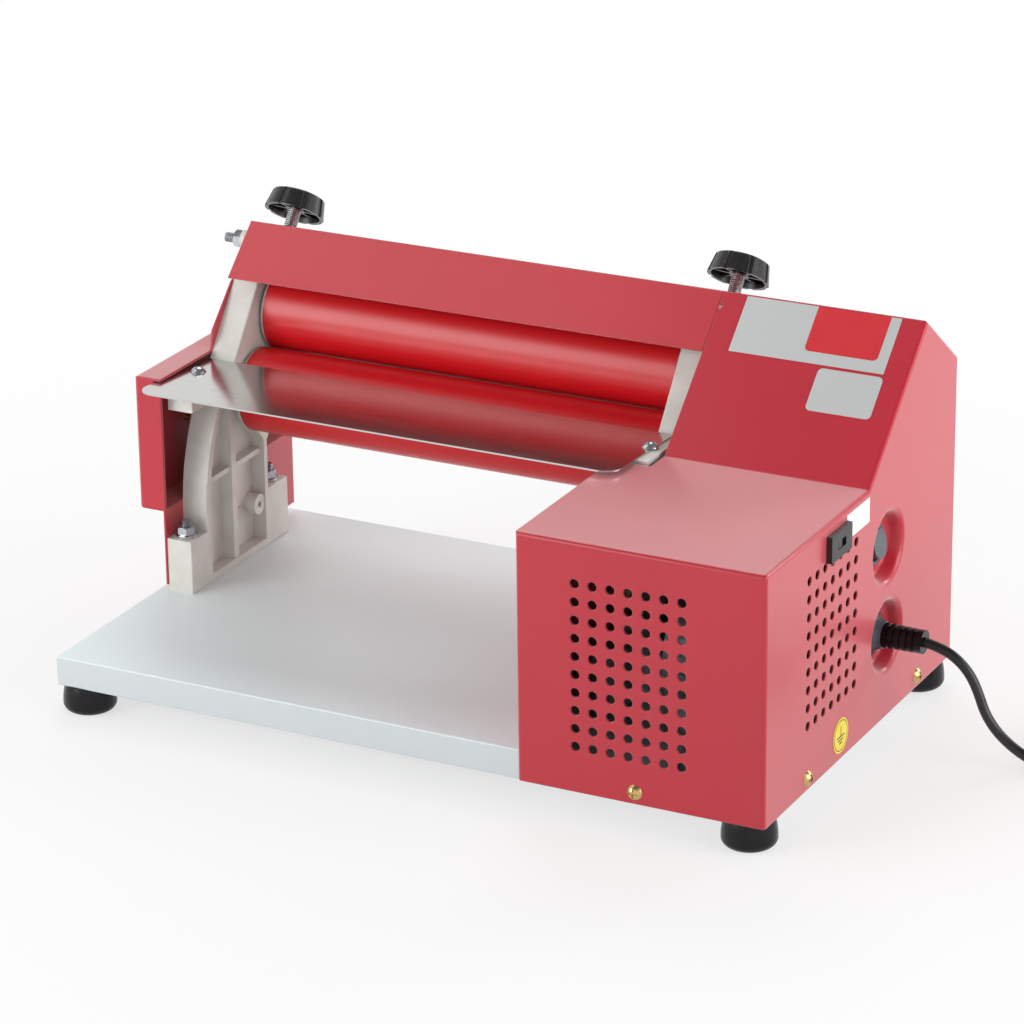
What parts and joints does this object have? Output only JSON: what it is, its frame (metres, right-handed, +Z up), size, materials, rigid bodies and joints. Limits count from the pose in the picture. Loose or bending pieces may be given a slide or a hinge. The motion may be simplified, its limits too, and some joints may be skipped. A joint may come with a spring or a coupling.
{
  "type": "pizza dough roller machine",
  "caption": "Table-top electric dough sheeter with red rollers over a white board, a feed tray, knobs that open the gap, and a slanted motor housing with vents, a switch and a cord.",
  "frame": {"origin": "middle of the machine's outer box, without its cord, at the feet's treads", "axes": "+X along the rollers towards the motor housing, +Y to the back, +Z up"},
  "size_m": [0.6895, 0.2898, 0.2522],
  "materials": {
    "board_white": "white laminate, satin",
    "rubber_black": "glossy black rubber",
    "zinc": "bright zinc plate",
    "screw_yellow": "yellow zinc plate",
    "frame_offwhite": "off-white moulded, satin",
    "paint_red": "glossy red powder coat",
    "roller_red": "satin red coating on a steel tube",
    "plug_pale": "pale grey, matte",
    "steel": "ground steel",
    "bronze": "sintered bronze",
    "gear_grey": "cut steel",
    "block_grey": "grey, matte",
    "knob_black": "glossy black",
    "tray_steel": "polished stainless sheet",
    "switch_black": "black",
    "rocker_grey": "mid grey, satin",
    "gland_grey": "dark blue grey, satin",
    "label_silver": "silver foil, bare",
    "label_white": "white sticker, blank",
    "label_yellow": "yellow sticker with the earth sign",
    "motor_grey": "cast, grey",
    "galvanised": "galvanised sheet",
    "fan_black": "black",
    "pulley_grey": "turned",
    "belt_black": "matte black",
    "capacitor_grey": "grey",
    "cord_black": "black, satin"
  },
  "bodies": {
    "machine_base": {"base_board": "board_white", "foot_front_left": "rubber_black", "foot_back_left": "rubber_black", "foot_front_right": "rubber_black", "foot_back_right": "rubber_black", "foot_screws": "zinc", "left_side_frame": "frame_offwhite", "right_side_frame": "frame_offwhite", "frame_bolts": "zinc", "frame_washers": "zinc", "frame_nuts": "zinc", "lower_bushes": "bronze", "spindle_nuts": "zinc", "feed_tray": "tray_steel", "tray_screws": "zinc", "left_cover": "paint_red", "cross_cover": "paint_red", "tie_rod": "zinc", "tie_rod_nuts": "zinc", "motor_housing": "paint_red", "cover_screws": "screw_yellow", "rocker_bezel": "rocker_grey", "selector_plate": "switch_black", "silver_labels": "label_silver", "selector_label": "label_white", "earth_label": "label_yellow", "motor_body": "motor_grey", "motor_cradle": "galvanised", "drive_belt": "belt_black", "counter_stand": "galvanised", "start_capacitor": "capacitor_grey", "cord_gland": "gland_grey", "strain_relief": "rubber_black", "cord_tube": "cord_black", "cord_coil": "cord_black", "mains_plug": "rubber_black"},
    "lower_roller_set": {"lower_roller": "roller_red", "lower_roller_plugs": "plug_pale", "lower_shaft": "steel", "lower_shaft_collar": "steel", "lower_roller_gear": "gear_grey", "drive_gear": "gear_grey"},
    "upper_carriage": {"left_bearing_block": "block_grey", "right_bearing_block": "block_grey", "upper_bushes": "bronze"},
    "upper_roller_set": {"upper_roller": "roller_red", "upper_roller_plugs": "plug_pale", "upper_shaft": "steel", "upper_roller_gear": "gear_grey"},
    "left_knob_set": {"left_knob": "knob_black", "left_spindle": "zinc"},
    "right_knob_set": {"right_knob": "knob_black", "right_spindle": "zinc"},
    "countershaft_set": {"countershaft": "steel", "counter_pulley": "pulley_grey"},
    "motor_rotor_set": {"motor_shaft": "steel", "motor_fan": "fan_black", "motor_pulley": "pulley_grey"},
    "switch_rocker": {"rocker_button": "rocker_grey"},
    "voltage_slider": {"selector_slider": "switch_black"}
  },
  "joints": [
    {"name": "lower_roller_spin", "type": "hinge", "parent": "machine_base", "child": "lower_roller_set", "pos_m": [-0.06648, 0.0543, 0.1423], "axis": [1, 0, 0], "continuous": true},
    {"name": "left_knob_turn", "type": "hinge", "parent": "upper_carriage", "child": "left_knob_set", "pos_m": [-0.21698, 0.12279, 0.23319], "axis": [0, 0.6018, 0.7986], "range_deg": [0, 1152]},
    {"name": "roller_gap_slide", "type": "slide", "parent": "machine_base", "child": "upper_carriage", "axis": [0, 0.6018, 0.7986], "range_m": [0, 0.004]},
    {"name": "right_knob_turn", "type": "hinge", "parent": "upper_carriage", "child": "right_knob_set", "pos_m": [0.08452, 0.12279, 0.23319], "axis": [0, 0.6018, 0.7986], "range_deg": [0, 1152]},
    {"name": "upper_roller_spin", "type": "hinge", "parent": "upper_carriage", "child": "upper_roller_set", "pos_m": [-0.06648, 0.08608, 0.18447], "axis": [1, 0, 0], "continuous": true},
    {"name": "countershaft_spin", "type": "hinge", "parent": "machine_base", "child": "countershaft_set", "pos_m": [0.12752, 0.0065, 0.11126], "axis": [1, 0, 0], "continuous": true},
    {"name": "motor_spin", "type": "hinge", "parent": "machine_base", "child": "motor_rotor_set", "pos_m": [0.16752, -0.08719, 0.093], "axis": [1, 0, 0], "continuous": true},
    {"name": "switch_rock", "type": "hinge", "parent": "machine_base", "child": "switch_rocker", "pos_m": [0.21052, 0.02581, 0.1217], "axis": [0, 1, 0], "range_deg": [0, 18]},
    {"name": "selector_slide", "type": "slide", "parent": "machine_base", "child": "voltage_slider", "axis": [0, 1, 0], "range_m": [0, 0.004]}
  ],
  "couplings": [
    {"joint": "upper_roller_spin", "follows": "lower_roller_spin", "ratio": -1},
    {"joint": "countershaft_spin", "follows": "lower_roller_spin", "ratio": -3.75},
    {"joint": "motor_spin", "follows": "lower_roller_spin", "ratio": -15.625},
    {"joint": "left_knob_turn", "follows": "roller_gap_slide", "rad_per_m": 5026.5},
    {"joint": "right_knob_turn", "follows": "roller_gap_slide", "rad_per_m": 5026.5}
  ]
}
